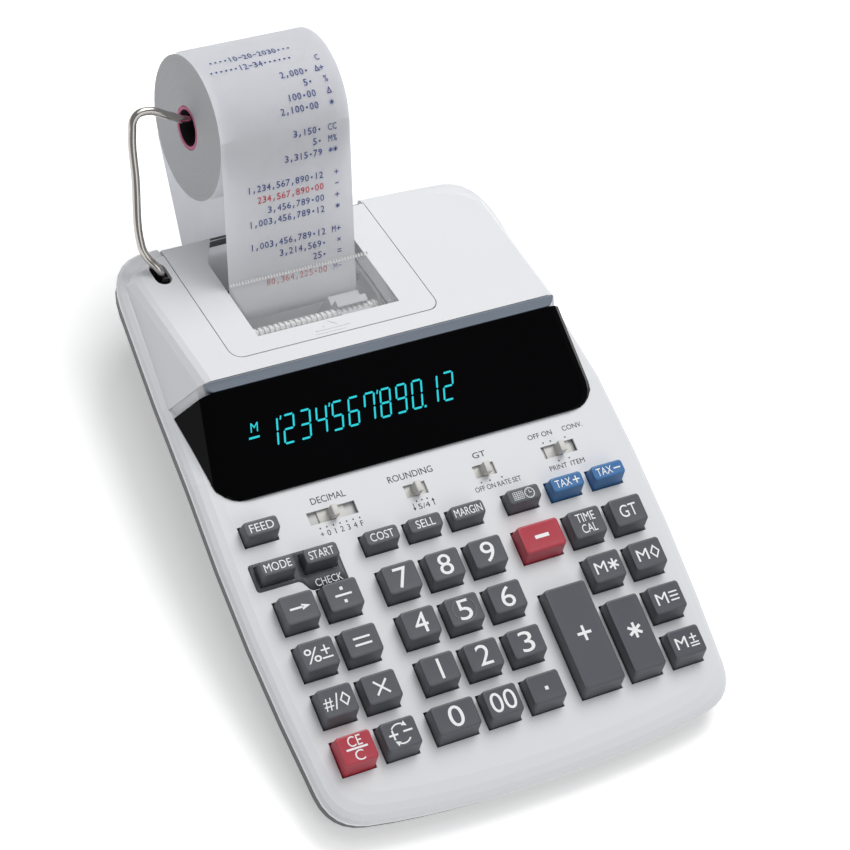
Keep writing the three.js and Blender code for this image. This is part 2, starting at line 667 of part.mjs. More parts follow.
function place(name, solid, material, x = 0, y = 0, z = 0) {
  const mesh = new THREE.Mesh(toGeometry(solid), material);
  mesh.name = name;
  mesh.position.set(x, y, z);
  calculator.add(mesh);
  return mesh;
}

const caseWhite = paint(0xdcdde0, 0.5);
place('upper_case', upperCase(), caseWhite);
place('lower_case', lowerCase(), paint(0x54565a, 0.6));
place('display_lens', displayLens(), paint(0x08080a, 0.08));
place('display_trim', displayTrim(), paint(0x76808c, 0.45));
const tubeDepth = 3.9;
const tube = place('display_tube', displayTube(), paint(0x16262a, 0.1), -17, 91, lensTop(91) - LENS_WALL - tubeDepth);
tube.rotation.x = DISPLAY_TILT;
place('circuit_board', circuitBoard(), paint(0x2f6b3c, 0.6));

for (const key of KEYS) {
  place(key.name, keyBody(key), paint(key.colour, 0.45), key.x, key.y, 0);
}
for (const slider of SWITCHES) {
  place(slider.name, switchBody(), paint(0xe6e6e8, 0.4), slider.x, SWITCH_ROW, 0);
}

place('printer_cover', printerCover(), caseWhite);
place('tear_window', tearWindow(), paint(0xe8eef0, 0.05));
place('printer_frame', printerFrame(), paint(0x8a8d90, 0.4, 0.8));
place('platen_roller', platenRoller(), paint(0x222222, 0.8), 0, PLATEN_Y, PLATEN_Z);
place('carriage_rack', carriageRack(), paint(0xf0f0ee, 0.4), 0, RACK_Y, RACK_Z);
place('print_carriage', printCarriage(), paint(0xa9acae, 0.5), CARRIAGE_X, 0, 0);

const paperWhite = paint(0xf2f3f5, 0.85);
place('paper_strip', paperStrip(), paperWhite);
place('paper_roll', ringAlongX(ROLL_RADIUS, CORE_RADIUS + GAP, PAPER_WIDTH, 48), paperWhite, PAPER_LEFT, ROLL_Y, ROLL_Z);
place('paper_core', ringAlongX(CORE_RADIUS, CORE_BORE, PAPER_WIDTH, 32), paint(0xc99aa6, 0.7), PAPER_LEFT, ROLL_Y, ROLL_Z);
place('paper_arm', paperArm(), paint(0xb9bcc0, 0.2, 1));

// Two rubber strips under the case. The table is level, so they turn back by the deck's slope.
const FOOT_DEPTH = 9;
const FOOT_HEIGHT = 2.2;
for (const [name, y, halfLength] of [['foot_front', -42, 56], ['foot_rear', 158, 62]]) {
  const solid = block(-halfLength, halfLength, -FOOT_DEPTH / 2, FOOT_DEPTH / 2, -FOOT_HEIGHT, 0);
  const foot = place(name, solid, paint(0x2b2b2b, 0.9), 0, y, caseBottom(y) - GAP);
  foot.rotation.x = -DECK_SLOPE;
}

// Tip the keyboard's plane up from the table, with the feet's soles at z = 0.
calculator.rotation.x = DECK_SLOPE;
calculator.position.set(0, 0, 0);

const group = new THREE.Group();
group.add(calculator);
group.updateMatrixWorld(true);
const bounds = new THREE.Box3().setFromObject(group, true);
calculator.position.set(
  -(bounds.min.x + bounds.max.x) / 2,
  -(bounds.min.y + bounds.max.y) / 2,
  -bounds.min.z,
);

export default group;
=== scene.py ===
"""The looks of a desk printing calculator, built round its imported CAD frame.

Shapes are drawn in the keyboard's own plane, in millimetres, as the part's source draws them: x runs to
the right, y runs up the keyboard from the 4-5-6 row, and z stands off the deck. DECK turns a point of that
plane into the CAD frame, in metres.
"""
import math
import random

import bmesh
import bpy
from mathutils import Matrix, Vector


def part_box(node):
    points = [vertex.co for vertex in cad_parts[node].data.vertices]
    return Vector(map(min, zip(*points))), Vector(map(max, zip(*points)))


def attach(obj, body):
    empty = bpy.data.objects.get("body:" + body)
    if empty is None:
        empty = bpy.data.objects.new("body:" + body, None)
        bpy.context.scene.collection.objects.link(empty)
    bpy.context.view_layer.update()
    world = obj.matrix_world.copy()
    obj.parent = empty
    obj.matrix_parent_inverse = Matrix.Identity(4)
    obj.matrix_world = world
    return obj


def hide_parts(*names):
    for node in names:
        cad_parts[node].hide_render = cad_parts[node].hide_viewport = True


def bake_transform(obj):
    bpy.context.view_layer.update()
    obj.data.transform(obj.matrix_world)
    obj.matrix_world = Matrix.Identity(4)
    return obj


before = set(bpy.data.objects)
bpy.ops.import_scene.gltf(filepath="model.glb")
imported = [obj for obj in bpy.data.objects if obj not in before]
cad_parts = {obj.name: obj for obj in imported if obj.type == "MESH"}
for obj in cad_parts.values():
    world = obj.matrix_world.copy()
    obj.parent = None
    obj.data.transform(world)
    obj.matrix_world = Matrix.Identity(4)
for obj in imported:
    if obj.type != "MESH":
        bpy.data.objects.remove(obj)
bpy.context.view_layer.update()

# ---------- the keyboard's plane ----------

MM = 0.001
DECK_SLOPE = math.radians(10)
BOARD_CENTRE = Vector((0, 4, -8.4))


def deck_frame():
    low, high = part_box("circuit_board")
    turn = Matrix.Rotation(DECK_SLOPE, 4, "X")
    origin = (Vector(low) + Vector(high)) / 2 - turn @ (BOARD_CENTRE * MM)
    return Matrix.Translation(origin) @ turn @ Matrix.Scale(MM, 4)


DECK = deck_frame()
TO_DECK = DECK.inverted()


def deck_points(node):
    return [TO_DECK @ vertex.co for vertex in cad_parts[node].data.vertices]


def span(points):
    low = Vector([min(point[axis] for point in points) for axis in range(3)])
    high = Vector([max(point[axis] for point in points) for axis in range(3)])
    return low, high


def deck_box(node):
    return span(deck_points(node))


# ---------- materials ----------


def surface(name, colour, roughness, mottle=0.03, mottle_size=30, grain=0.0, grain_size=0.4,
            metallic=0.0, coat=0.0, specular=0.5, edge_highlight=0.0):
    """A painted, moulded or metal surface. Sizes are in millimetres: mottle is a slow drift of colour and
    gloss, grain a fine moulded texture; the last argument paints a highlight that lightens outer edges."""
    material = bpy.data.materials.new(name)
    material.use_nodes = True
    nodes, links = material.node_tree.nodes, material.node_tree.links
    shader = nodes["Principled BSDF"]
    shader.inputs["Metallic"].default_value = metallic
    shader.inputs["Coat Weight"].default_value = coat
    shader.inputs["Coat Roughness"].default_value = 0.06
    shader.inputs["Specular IOR Level"].default_value = specular
    where = nodes.new("ShaderNodeTexCoord").outputs["Object"]

    drift = noise(nodes, links, where, mottle_size, 3)
    mix = nodes.new("ShaderNodeMix")
    mix.data_type = "RGBA"
    mix.inputs[6].default_value = (*[c * (1 - mottle) for c in colour], 1)
    mix.inputs[7].default_value = (*[min(1, c * (1 + mottle)) for c in colour], 1)
    links.new(drift, mix.inputs[0])
    shade = mix.outputs[2]
    # painted highlight: outer edges lightened in the colour itself
    if edge_highlight:
        shade = painted_highlight_on_edges(nodes, links, shade, edge_highlight)
    links.new(shade, shader.inputs["Base Color"])

    gloss = nodes.new("ShaderNodeMapRange")
    gloss.inputs["To Min"].default_value = roughness * 0.88
    gloss.inputs["To Max"].default_value = min(1, roughness * 1.12)
    links.new(drift, gloss.inputs["Value"])
    links.new(gloss.outputs["Result"], shader.inputs["Roughness"])

    if grain:
        bump = nodes.new("ShaderNodeBump")
        bump.inputs["Strength"].default_value = grain
        bump.inputs["Distance"].default_value = grain_size * MM * 0.2
        links.new(noise(nodes, links, where, grain_size, 2), bump.inputs["Height"])
        links.new(bump.outputs["Normal"], shader.inputs["Normal"])
    return material


def noise(nodes, links, where, size, detail):
    """Noise with features about that many millimetres across."""
    node = nodes.new("ShaderNodeTexNoise")
    node.inputs["Scale"].default_value = 1 / (size * MM)
    node.inputs["Detail"].default_value = detail
    links.new(where, node.inputs["Vector"])
    return node.outputs["Fac"]


# Painted highlight: the colour is lightened towards pale grey where pointiness finds an outer edge.
def painted_highlight_on_edges(nodes, links, shade, edge_highlight):
    edge = nodes.new("ShaderNodeMapRange")
    edge.inputs["From Min"].default_value = 0.51
    edge.inputs["From Max"].default_value = 0.6
    edge.inputs["To Max"].default_value = edge_highlight
    links.new(nodes.new("ShaderNodeNewGeometry").outputs["Pointiness"], edge.inputs["Value"])
    lighter = nodes.new("ShaderNodeMix")
    lighter.data_type = "RGBA"
    lighter.inputs[7].default_value = (0.8, 0.82, 0.85, 1)
    links.new(edge.outputs["Result"], lighter.inputs[0])
    links.new(shade, lighter.inputs[6])
    return lighter.outputs[2]


def glowing(name, colour, strength):
    """Lit phosphor, a little uneven."""
    material = surface(name, (0.01, 0.05, 0.05), 0.5)
    nodes, links = material.node_tree.nodes, material.node_tree.links
    shader = nodes["Principled BSDF"]
    where = nodes.new("ShaderNodeTexCoord").outputs["Object"]
    mix = nodes.new("ShaderNodeMix")
    mix.data_type = "RGBA"
    mix.inputs[6].default_value = (*[c * 0.8 for c in colour], 1)
    mix.inputs[7].default_value = (*colour, 1)
    links.new(noise(nodes, links, where, 0.6, 1), mix.inputs[0])
    links.new(mix.outputs[2], shader.inputs["Emission Color"])
    shader.inputs["Emission Strength"].default_value = strength
    return material


def clear_plastic(name):
    material = surface(name, (0.9, 0.93, 0.95), 0.05, mottle=0.02)
    shader = material.node_tree.nodes["Principled BSDF"]
    shader.inputs["Alpha"].default_value = 0.1
    return material


def wound_paper(name):
    """The end of the roll: hundreds of turns of paper seen edge on."""
    material = surface(name, (0.56, 0.565, 0.58), 0.9)
    nodes, links = material.node_tree.nodes, material.node_tree.links
    shader = nodes["Principled BSDF"]
    low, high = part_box("paper_roll")
    middle = (Vector(low) + Vector(high)) / 2
    apart = nodes.new("ShaderNodeVectorMath")
    apart.operation = "SUBTRACT"
    apart.inputs[1].default_value = middle
    links.new(nodes.new("ShaderNodeTexCoord").outputs["Object"], apart.inputs[0])
    flat = nodes.new("ShaderNodeVectorMath")
    flat.operation = "MULTIPLY"
    flat.inputs[1].default_value = (0, 1, 1)
    links.new(apart.outputs["Vector"], flat.inputs[0])
    radius = nodes.new("ShaderNodeVectorMath")
    radius.operation = "LENGTH"
    links.new(flat.outputs["Vector"], radius.inputs[0])
    turns = nodes.new("ShaderNodeTexNoise")
    turns.noise_dimensions = "1D"
    turns.inputs["Scale"].default_value = 1 / (0.5 * MM)
    turns.inputs["Detail"].default_value = 5
    links.new(radius.outputs["Value"], turns.inputs["W"])
    mix = nodes.new("ShaderNodeMix")
    mix.data_type = "RGBA"
    mix.inputs[6].default_value = (0.36, 0.365, 0.38, 1)
    mix.inputs[7].default_value = (0.5, 0.505, 0.52, 1)
    links.new(turns.outputs["Fac"], mix.inputs[0])
    links.new(mix.outputs[2], shader.inputs["Base Color"])
    bump = nodes.new("ShaderNodeBump")
    bump.inputs["Strength"].default_value = 0.3
    bump.inputs["Distance"].default_value = 0.1 * MM
    links.new(turns.outputs["Fac"], bump.inputs["Height"])
    links.new(bump.outputs["Normal"], shader.inputs["Normal"])
    return material


CASE_LIGHT = surface("case_light", (0.74, 0.75, 0.77), 0.42, mottle=0.012, mottle_size=60,
                     grain=0.16, grain_size=0.35)
CASE_DARK = surface("case_dark", (0.1, 0.103, 0.108), 0.5, grain=0.3, grain_size=0.45)
# The key colours carry a painted highlight on their outer edges.
KEY_GREY = surface("key_grey", (0.068, 0.073, 0.087), 0.4, grain=0.12, grain_size=0.3, edge_highlight=0.1)
KEY_RED = surface("key_red", (0.42, 0.018, 0.04), 0.36, grain=0.12, grain_size=0.3, edge_highlight=0.12)
KEY_BLUE = surface("key_blue", (0.02, 0.14, 0.36), 0.36, grain=0.12, grain_size=0.3, edge_highlight=0.12)
LEGEND = surface("legend_ink", (0.86, 0.87, 0.88), 0.5, mottle_size=4)
LABEL = surface("label_ink", (0.035, 0.035, 0.04), 0.5, mottle=0.1, mottle_size=2)
PLATE_INK = surface("plate_ink", (0.085, 0.088, 0.098), 0.5, mottle_size=6, grain=0.12, grain_size=0.35)
LENS_BLACK = surface("lens_black", (0.0012, 0.0012, 0.0016), 0.05, mottle=0.3, mottle_size=80,
                     specular=0.06)
TRIM_GREY = surface("trim_grey", (0.19, 0.225, 0.275), 0.4, grain=0.14, grain_size=0.35)
VACUUM_GLOW = glowing("vacuum_glow", (0.0, 0.7, 0.8), 0.95)
TUBE_GLASS = surface("tube_glass", (0.02, 0.035, 0.038), 0.08, coat=0.3)
BOARD_GREEN = surface("board_green", (0.03, 0.14, 0.05), 0.45, mottle=0.12, mottle_size=5)
KNOB_GREY = surface("knob_grey", (0.62, 0.61, 0.58), 0.45, grain=0.12, grain_size=0.3)
TRAY_GREY = surface("tray_grey", (0.6, 0.6, 0.59), 0.5, grain=0.1, grain_size=0.3)
STEEL = surface("frame_steel", (0.5, 0.51, 0.52), 0.36, mottle=0.08, mottle_size=3, metallic=0.9)
CHROME = surface("arm_chrome", (0.5, 0.475, 0.45), 0.14, mottle=0.05, mottle_size=20, metallic=1.0)
PLATEN_RUBBER = surface("platen_rubber", (0.025, 0.025, 0.027), 0.75, grain=0.3, grain_size=0.5)
NYLON = surface("rack_nylon", (0.78, 0.78, 0.77), 0.38, mottle_size=8)
CARRIAGE = surface("carriage_grey", (0.42, 0.43, 0.45), 0.45, grain=0.15, grain_size=0.4)
PAPER = surface("paper_white", (0.9, 0.905, 0.93), 0.85, mottle=0.02, mottle_size=9, grain=0.14,
                grain_size=0.25)
PAPER_END = wound_paper("paper_end")
# Painted shade: the inside of the core is painted near-black.
PAINTED_BORE_SHADE = surface("core_bore_painted_shade", (0.012, 0.009, 0.01), 0.85, mottle=0.15, mottle_size=3)
CORE_PINK = surface("core_pink", (0.5, 0.13, 0.24), 0.8, mottle=0.12, mottle_size=2, grain=0.3,
                    grain_size=0.5)
INK_BLUE = surface("ink_blue", (0.03, 0.06, 0.26), 0.8, mottle=0.35, mottle_size=0.7)
INK_RED = surface("ink_red", (0.56, 0.03, 0.05), 0.8, mottle=0.3, mottle_size=0.7)
WINDOW = clear_plastic("window_clear")
FOOT_RUBBER = surface("foot_rubber", (0.03, 0.03, 0.03), 0.85, grain=0.4, grain_size=0.6)


def paint(node, material):
    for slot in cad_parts[node].material_slots:
        slot.material = material


# ---------- making pieces ----------


def finish_piece(name, mesh_maker, body, materials, sharp=35, stands_for=()):
    """Turns a bmesh drawn in the keyboard's plane into a piece that rides on a body."""
    mesh_maker.transform(DECK)
    mesh = bpy.data.meshes.new(name)
    mesh_maker.to_mesh(mesh)
    mesh_maker.free()
    for polygon in mesh.polygons:
        polygon.use_smooth = True
    mesh.set_sharp_from_angle(angle=math.radians(sharp))
    for material in materials:
        mesh.materials.append(material)
    piece = bpy.data.objects.new(name, mesh)
    bpy.context.scene.collection.objects.link(piece)
    if body:
        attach(piece, body)
    if stands_for:
        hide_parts(*stands_for)
    return piece


def loft(maker, rings):
    """Skins and closes a stack of rings that each run anticlockwise seen from the last ring's side."""
    made = [[maker.verts.new(point) for point in ring] for ring in rings]
    for lower, upper in zip(made, made[1:]):
        count = len(lower)
        for i in range(count):
            after = (i + 1) % count
            maker.faces.new((lower[i], lower[after], upper[after], upper[i]))
    maker.faces.new(list(reversed(made[0])))
    maker.faces.new(made[-1])


def rounded_rectangle(half_x, half_y, radius, z=0.0, centre=(0, 0), steps=5):
    points = []
    corners = [(1, 1, 0), (-1, 1, 90), (-1, -1, 180), (1, -1, 270)]
    for sign_x, sign_y, start in corners:
        for step in range(steps + 1):
            angle = math.radians(start + 90 * step / steps)
            x = sign_x * (half_x - radius) + radius * math.cos(angle)
            y = sign_y * (half_y - radius) + radius * math.sin(angle)
            points.append(Vector((centre[0] + x, centre[1] + y, z)))
    return points


def soft_block(maker, low, high, radius=0.4):
    """A block with rounded upright corners and a small round-over on top."""
    half_x, half_y = (high[0] - low[0]) / 2, (high[1] - low[1]) / 2
    centre = ((high[0] + low[0]) / 2, (high[1] + low[1]) / 2)
    rings = [(0, low[2]), (0, high[2] - radius), (radius * 0.3, high[2] - radius * 0.3), (radius, high[2])]
    loft(maker, [
        rounded_rectangle(half_x - inset, half_y - inset, max(0.05, radius - inset), z, centre)
        for inset, z in rings
    ])


# ---------- lettering ----------

TEXT_LIFT = 0.015
INK_THICKNESS = 0.05 * MM
WORDS = {}


def word_outline(words, resolution):
    """The filled outlines of some words as points and faces, with the capitals one unit high."""
    key = (words, resolution)
    if key not in WORDS:
        drawing = bpy.data.curves.new("words", "FONT")
        drawing.body = words
        drawing.resolution_u = resolution
        holder = bpy.data.objects.new("words", drawing)
        mesh = holder.to_mesh()
        points = [vertex.co.xy.copy() for vertex in mesh.vertices]
        faces = [anticlockwise(points, tuple(polygon.vertices)) for polygon in mesh.polygons]
        bpy.data.objects.remove(holder)
        bpy.data.curves.remove(drawing)
        WORDS[key] = (points, faces)
    return WORDS[key]


def anticlockwise(points, face):
    """The face's corners in the order that makes it look up."""
    area = sum(points[a].cross(points[b]) for a, b in zip(face, face[1:] + face[:1]))
    return face if area > 0 else tuple(reversed(face))


def capital_height():
    points, _ = word_outline("H", 2)
    return max(point.y for point in points)


CAPITAL = capital_height()


def draw_words(sheet, place, words, u, v, height, width=None, resolution=5):
    """Words centred on (u, v), with capitals of that height. place(u, v) is a point of the surface."""
    points, faces = word_outline(words, resolution)
    left = min(point.x for point in points)
    right = max(point.x for point in points)
    tall = height / CAPITAL
    wide = width / (right - left) if width else tall
    middle = (left + right) / 2
    made = []
    for point in points:
        along = u + (point.x - middle) * wide
        made.append(sheet.verts.new(place(along, v + point.y * tall - height / 2)))
    for face in faces:
        corners = [made[i] for i in face]
        if len(set(corners)) > 2:
            sheet.faces.new(corners)


def draw_stroke(sheet, place, points, width, closed=False):
    """A line of even width through the points, with mitred corners."""
    points = [Vector(point) for point in points]
    count = len(points)
    sides = []
    for i, point in enumerate(points):
        before = (point - points[i - 1]).normalized() if i or closed else None
        after = (points[(i + 1) % count] - point).normalized() if i < count - 1 or closed else None
        along = ((before or after) + (after or before)).normalized()
        across = Vector((-along.y, along.x))
        reach = width / 2 / max(0.4, along.dot(after or before))
        sides.append([sheet.verts.new(place(*(point + across * reach * side))) for side in (-1, 1)])
    pairs = list(zip(sides, sides[1:] + sides[:1] if closed else sides[1:]))
    for (right, left), (next_right, next_left) in pairs:
        sheet.faces.new((right, next_right, next_left, left))


def caption(words, height, u=0.0, v=0.0, width=None, **style):
    return lambda sheet, place: draw_words(sheet, place, words, u, v, height, width, **style)


def stroke(points, width, closed=False):
    return lambda sheet, place: draw_stroke(sheet, place, points, width, closed)


def bar(u, v, length, width):
    return stroke([(u - length / 2, v), (u + length / 2, v)], width)


def spokes(u, v, length, width, arms, turn):
    """Bars that meet in the middle without crossing each other; turn is in degrees."""
    middle = Vector((u, v))
    half_step = math.pi / arms
    start = width / 2 / math.tan(half_step)
    hub = width / 2 / math.sin(half_step)
    marks = []
    corners = []
    for arm in range(arms):
        angle = math.radians(turn) + 2 * half_step * arm
        way = Vector((math.cos(angle), math.sin(angle)))
        marks.append(stroke([middle + way * start, middle + way * length / 2], width))
        corner = angle + half_step
        corners.append(middle + Vector((math.cos(corner), math.sin(corner))) * hub)

    def draw_hub(sheet, place):
        sheet.faces.new([sheet.verts.new(place(*corner)) for corner in corners])
    return marks + [draw_hub]


def cross(u, v, length, width, turn=0.0):
    return spokes(u, v, length, width, 4, turn)


def asterisk(u, v, length, width):
    return spokes(u, v, length, width, 6, 30)


def diamond(u, v, half_width, half_height, width):
    corners = [(u - half_width, v), (u, v - half_height), (u + half_width, v), (u, v + half_height)]
    return stroke(corners, width, True)


def arc_points(u, v, radius, start, end, steps=14):
    turns = [math.radians(start + (end - start) * step / steps) for step in range(steps + 1)]
    return [(u + radius * math.cos(turn), v + radius * math.sin(turn)) for turn in turns]


def circle(u, v, radius, width):
    return stroke(arc_points(u, v, radius, 0, 360, 28)[:-1], width, True)


def arrow_head(u, v, angle, length, half_width):
    """A filled point whose tip is at (u, v)."""
    along = Vector((math.cos(math.radians(angle)), math.sin(math.radians(angle))))
    across = Vector((-along.y, along.x)) * half_width
    tip = Vector((u, v))
    corners = [tip, tip - along * length + across, tip - along * length - across]

    def draw(sheet, place):
        sheet.faces.new([sheet.verts.new(place(*corner)) for corner in corners])
    return draw


def flat(marks):
    """The marks with the lists among them opened out."""
    return [inner for mark in marks for inner in (mark if isinstance(mark, list) else [mark])]


def lettering(name, marks, place, body, material, blended=False):
    sheet = bmesh.new()
    for mark in flat(marks):
        mark(sheet, place)
    piece = finish_piece(name, sheet, None if blended else body, [material], sharp=0)
    thicken = piece.modifiers.new("ink", "SOLIDIFY")
    thicken.thickness = INK_THICKNESS
    thicken.offset = 1
    return piece


def on_deck(u, v):
    return Vector((u, v, TEXT_LIFT))


# ---------- keys ----------

FLANGE_BOTTOM = -3.9
FLANGE_TOP = -2.6
CAP_CORNER = 1.4
DISH = 0.06

DIGIT_HEIGHT = 8.3
SMALL_CAPITALS = 3.3
RING_HEIGHT = 0.15 * MM
LINE = 0.85


def swap_marks():
    """A plus and a minus with two arrows running round them."""
    return [
        cross(-3.2, 0.2, 4, 0.75),
        bar(3.2, 0.6, 4, 0.75),
        stroke(arc_points(0, 0.1, 4.0, 142, 60), 0.6),
        arrow_head(3.5, 2.5, -42, 2.1, 1.1),
        stroke(arc_points(0, 0.1, 4.0, -38, -120), 0.6),
        arrow_head(-3.5, -2.3, 138, 2.1, 1.1),
    ]


def clock_marks():
    """A calendar page beside a clock face."""
    rows = [bar(-2.6, -1.6 + 0.8 * row, 4.6, 0.16) for row in range(5)]
    edges = [-4.9 + 0.92 * column for column in range(6)]
    columns = [stroke([(x, -1.6), (x, 1.6)], 0.16) for x in edges]
    ticks = []
    for hour in range(12):
        way = Vector((math.cos(math.radians(30 * hour)), math.sin(math.radians(30 * hour))))
        ticks.append(stroke([Vector((2.6, 0)) + way * 1.55, Vector((2.6, 0)) + way * 1.95], 0.2))
    hands = [stroke([(2.6, 0), (2.6, 1.3)], 0.26), stroke([(2.6, 0), (3.6, 0.2)], 0.26)]
    return [rows, columns, ticks, hands, circle(2.6, 0, 2.15, 0.26)]


def key_marks():
    small = {
        "feed": ("FEED", 10.4), "mode": ("MODE", 11.6), "start": ("START", 10.9), "cost": ("COST", 10.4),
        "sell": ("SELL", 8.4), "margin": ("MARGIN", 12.6),
    }
    marks = {name: [caption(words, SMALL_CAPITALS, width=width)] for name, (words, width) in small.items()}
    for digit in "123456789":
        marks[digit] = [caption(digit, DIGIT_HEIGHT, width=None if digit == "1" else 5.9)]
    marks["0"] = [caption("0", DIGIT_HEIGHT, width=6.4)]
    marks["00"] = [caption("0", DIGIT_HEIGHT - 0.4, u=side * 3.0, width=5.3) for side in (-1, 1)]
    marks["tax_plus"] = [caption("TAX", SMALL_CAPITALS, u=-1.9, width=7.4), cross(4.2, 0, 3.2, 0.55)]
    marks["tax_minus"] = [caption("TAX", SMALL_CAPITALS, u=-1.9, width=7.4), bar(4.2, 0, 3.2, 0.55)]
    marks["clock"] = flat(clock_marks())
    marks["arrow"] = [stroke([(-4.3, 0), (1.6, 0)], LINE), arrow_head(4.6, 0, 0, 3.6, 1.25)]
    marks["divide"] = [bar(0, 0, 7.2, LINE), bar(0, 2.7, 1.3, 1.3), bar(0, -2.7, 1.3, 1.3)]
    marks["multiply"] = cross(0, 0, 8.0, LINE, 45)
    marks["minus"] = [bar(0, 0, 6.4, 1.5)]
    marks["plus"] = cross(0, 0.6, 6.4, 1.2)
    marks["star"] = asterisk(0, 1.2, 6.6, 1.2)
    marks["point"] = [bar(0, -0.4, 1.5, 1.5)]
    marks["equals"] = [bar(0, 1.35, 7.4, LINE), bar(0, -1.35, 7.4, LINE)]
    marks["time"] = [caption("TIME", 3.7, v=2.4, width=8.6), caption("CAL", 3.7, v=-2.4, width=6.9)]
    marks["gt"] = [caption("GT", 5.2, width=8.0)]
    marks["percent"] = [caption("%", 5.9, u=-2.6, width=6.4), cross(3.2, 1.0, 3.9, 0.65),
                        bar(3.2, -2.2, 4.6, 0.65)]
    marks["hash"] = [caption("#", 4.9, u=-4.2, width=4.0), stroke([(-1.7, -3.1), (0.5, 3.1)], 0.6),
                     diamond(3.1, 0, 1.9, 2.5, 0.62)]
    marks["m_star"] = [caption("M", 4.9, u=-2.8, width=5.2), asterisk(3.2, 0, 4.9, 0.8)]
    marks["m_diamond"] = [caption("M", 4.9, u=-2.4, width=5.2), diamond(3.4, 0, 1.9, 2.5, 0.62)]
    marks["m_equals"] = [caption("M", 4.9, u=-2.6, width=5.2)]
    marks["m_equals"] += [bar(3.2, 1.7 - 1.7 * row, 4.0, 0.6) for row in range(3)]
    marks["m_plus_minus"] = [caption("M", 4.9, u=-2.6, width=5.2), cross(3.2, 1.1, 3.4, 0.6),
                             bar(3.2, -1.2, 4.0, 0.55), bar(3.2, -2.4, 4.0, 0.55)]
    marks["clear"] = [caption("CE", 4.1, v=2.9, width=5.9), bar(0, 0, 9.2, 0.8),
                      caption("C", 4.1, v=-2.9, width=3.9)]
    marks["swap"] = flat(swap_marks())
    return marks


KEY_COLOURS = {
    "minus": (KEY_RED, "key_red"), "clear": (KEY_RED, "key_red"),
    "tax_plus": (KEY_BLUE, "key_blue"), "tax_minus": (KEY_BLUE, "key_blue"),
}


def key_cap(name, node, material):
    """A cap with rounded corners and a slightly dished top, on its skirt and flange. Returns its middle."""
    points = deck_points(node)
    top = max(point.z for point in points)
    flange = span([point for point in points if point.z < FLANGE_BOTTOM + 0.1])
    skirt = span([point for point in points if abs(point.z) < 0.1])
    face = span([point for point in points if top - 0.7 < point.z < top - 0.1])
    rings = [
        (flange, 0, 0.8, FLANGE_BOTTOM), (flange, 0, 0.8, FLANGE_TOP),
        (skirt, 0, CAP_CORNER, FLANGE_TOP), (skirt, 0, CAP_CORNER, 0),
        (face, -0.15, CAP_CORNER, top - 0.5), (face, -0.1, CAP_CORNER, top - 0.28),
        (face, 0.08, CAP_CORNER, top - 0.08), (face, 0.35, 1.2, top),
        (face, 0.7, 1.0, top), (face, 2.0, 0.6, top - DISH),
    ]
    maker = bmesh.new()
    loops = []
    for (low, high), inset, radius, z in rings:
        middle = (low + high) / 2
        half = (high - low) / 2
        loops.append(rounded_rectangle(half.x - inset, half.y - inset, radius, z, (middle.x, middle.y)))
    loft(maker, loops)
    finish_piece(f"keycap_{name}", maker, node, [material], sharp=50, stands_for=[node])
    middle = (face[0] + face[1]) / 2
    return Vector((middle.x, middle.y, top - DISH))


def make_keys():
    for name, marks in key_marks().items():
        node = f"key_{name}"
        material, slot = KEY_COLOURS.get(name, (KEY_GREY, "key_grey"))
        middle = key_cap(name, node, material)
        lettering(f"legend_{name}", marks, lambda u, v, m=middle: m + Vector((u, v, TEXT_LIFT)),
                  node, LEGEND)
        if name == "5":
            ring = lettering("finger_ring", [circle(0, 0, 5.0, 0.34)],
                             lambda u, v, m=middle: m + Vector((u, v, 0)), node, KEY_GREY)
            ring.modifiers["ink"].thickness = RING_HEIGHT


# ---------- the mode and start plate, and the labels ----------


PLATE_OUTLINE = [(-86.4, 43.4), (-48.0, 43.4), (-48.0, 26.6), (-64.8, 26.6), (-67.6, 31.6), (-86.4, 31.6)]
PLATE_CORNER = 1.7
PLATE_GAP = 0.4


def plate():
    """A printed panel round the mode and start keys, stepping down to hold the word under them."""
    loops = [rounded_corners(PLATE_OUTLINE, PLATE_CORNER)]
    for node in ("key_mode", "key_start"):
        low, high = span([point for point in deck_points(node) if abs(point.z) < 0.1])
        left, right = low.x - PLATE_GAP, high.x + PLATE_GAP
        near, far = low.y - PLATE_GAP, high.y + PLATE_GAP
        loops.append([(left, near), (right, near), (right, far), (left, far)])
    maker = bmesh.new()
    for loop in loops:
        corners = [maker.verts.new((x, y, TEXT_LIFT)) for x, y in loop]
        for corner, after in zip(corners, corners[1:] + corners[:1]):
            maker.edges.new((corner, after))
    bmesh.ops.triangle_fill(maker, use_beauty=True, use_dissolve=False, edges=maker.edges[:])
    maker.normal_update()
    bmesh.ops.reverse_faces(maker, faces=[face for face in maker.faces if face.normal.z < 0])
    piece = finish_piece("mode_plate", maker, "case", [PLATE_INK])
    thicken = piece.modifiers.new("ink", "SOLIDIFY")
    thicken.thickness = INK_THICKNESS
    thicken.offset = 1
    lettering("mode_plate_word", [caption("CHECK", 3.0, u=-56.2, v=29.2, width=11.8)],
              lambda u, v: Vector((u, v, TEXT_LIFT + 0.06)), "case", LEGEND)


def rounded_corners(outline, radius, steps=5):
    """The outline with each corner turned into a short curve."""
    points = []
    count = len(outline)
    for i, corner in enumerate(outline):
        corner = Vector(corner)
        before = (Vector(outline[i - 1]) - corner).normalized() * radius
        after = (Vector(outline[(i + 1) % count]) - corner).normalized() * radius
        for step in range(steps + 1):
            t = step / steps
            points.append(corner + before * (1 - t) ** 2 + after * t ** 2)
    return [(point.x, point.y) for point in points]


LABEL_ROW = 61.4
SCALE_ROW = 47.4
SCALE_DOTS = 49.9


DOT = 0.6


def dots(places):
    return [bar(x, SCALE_DOTS, DOT, DOT) for x in places]


